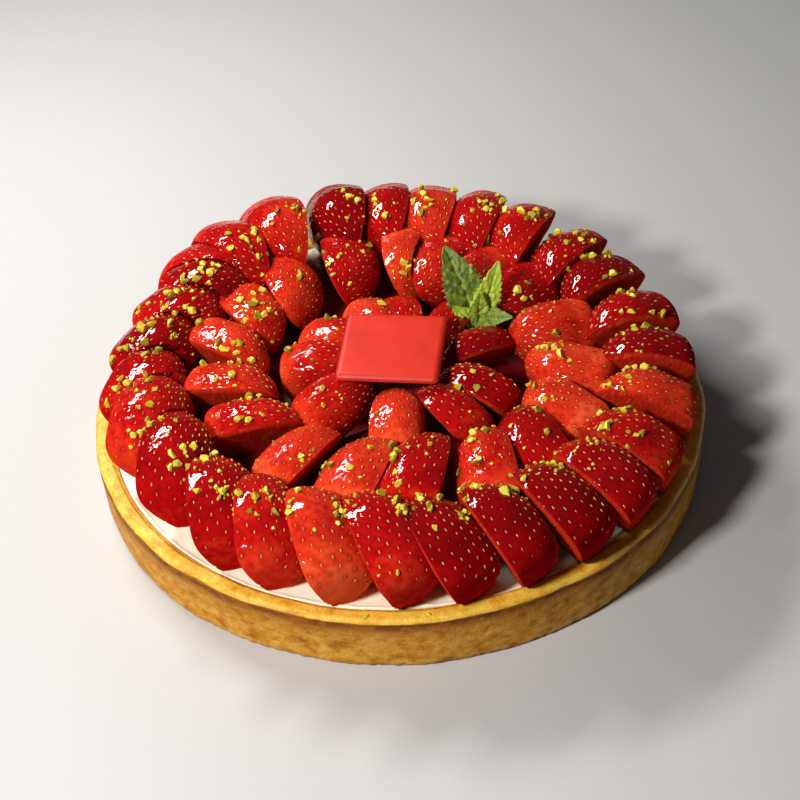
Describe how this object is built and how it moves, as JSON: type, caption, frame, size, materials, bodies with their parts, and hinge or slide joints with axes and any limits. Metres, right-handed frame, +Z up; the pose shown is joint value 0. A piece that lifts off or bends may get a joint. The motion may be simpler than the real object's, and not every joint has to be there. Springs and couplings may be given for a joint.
{
  "type": "strawberry tart",
  "caption": "Round shortcrust tart filled with cream, covered in rings of leaning halved strawberries, with chopped pistachio, a mint sprig and a bare square plaque.",
  "frame": {"origin": "centre of the tart's flat base", "axes": "+Z up through the middle of the tart, +X to the right and -Y to the front as the tart is shown, with the plaque just above the middle"},
  "size_m": [0.24, 0.2396, 0.0655],
  "materials": {
    "crust": "baked golden shortcrust, fine-grained and matt, with an egg-glazed rim",
    "cream": "smooth ivory vanilla cream, soft satin",
    "strawberry": "wet red fruit under clear nappage glaze, with golden seeds in dimples",
    "pistachio": "chopped nut, yellow-green, matt",
    "plaque": "cast coloured chocolate, orange-red, low satin",
    "mint": "fresh leaf, crinkled, soft satin"
  },
  "bodies": {
    "root": {"crust": "crust", "cream": "cream", "plaque": "plaque", "mint_sprig": "mint", "strawberry_outer_01": "strawberry", "strawberry_outer_02": "strawberry", "strawberry_outer_03": "strawberry", "strawberry_outer_04": "strawberry", "strawberry_outer_05": "strawberry", "strawberry_outer_06": "strawberry", "strawberry_outer_07": "strawberry", "strawberry_outer_08": "strawberry", "strawberry_outer_09": "strawberry", "strawberry_outer_10": "strawberry", "strawberry_outer_11": "strawberry", "strawberry_outer_12": "strawberry", "strawberry_outer_13": "strawberry", "strawberry_outer_14": "strawberry", "strawberry_outer_15": "strawberry", "strawberry_outer_16": "strawberry", "strawberry_outer_17": "strawberry", "strawberry_outer_18": "strawberry", "strawberry_outer_19": "strawberry", "strawberry_outer_20": "strawberry", "strawberry_outer_21": "strawberry", "strawberry_outer_22": "strawberry", "strawberry_outer_23": "strawberry", "strawberry_outer_24": "strawberry", "strawberry_outer_25": "strawberry", "strawberry_outer_26": "strawberry", "strawberry_outer_27": "strawberry", "strawberry_outer_28": "strawberry", "strawberry_middle_01": "strawberry", "strawberry_middle_02": "strawberry", "strawberry_middle_03": "strawberry", "strawberry_middle_04": "strawberry", "strawberry_middle_05": "strawberry", "strawberry_middle_06": "strawberry", "strawberry_middle_07": "strawberry", "strawberry_middle_08": "strawberry", "strawberry_middle_09": "strawberry", "strawberry_middle_10": "strawberry", "strawberry_middle_11": "strawberry", "strawberry_middle_12": "strawberry", "strawberry_middle_13": "strawberry", "strawberry_middle_14": "strawberry", "strawberry_middle_15": "strawberry", "strawberry_middle_16": "strawberry", "strawberry_middle_17": "strawberry", "strawberry_middle_18": "strawberry", "strawberry_inner_01": "strawberry", "strawberry_inner_02": "strawberry", "strawberry_inner_03": "strawberry", "strawberry_inner_04": "strawberry", "strawberry_inner_05": "strawberry", "strawberry_inner_06": "strawberry", "strawberry_inner_07": "strawberry", "strawberry_inner_08": "strawberry", "strawberry_inner_09": "strawberry", "strawberry_inner_10": "strawberry"}
  },
  "joints": []
}
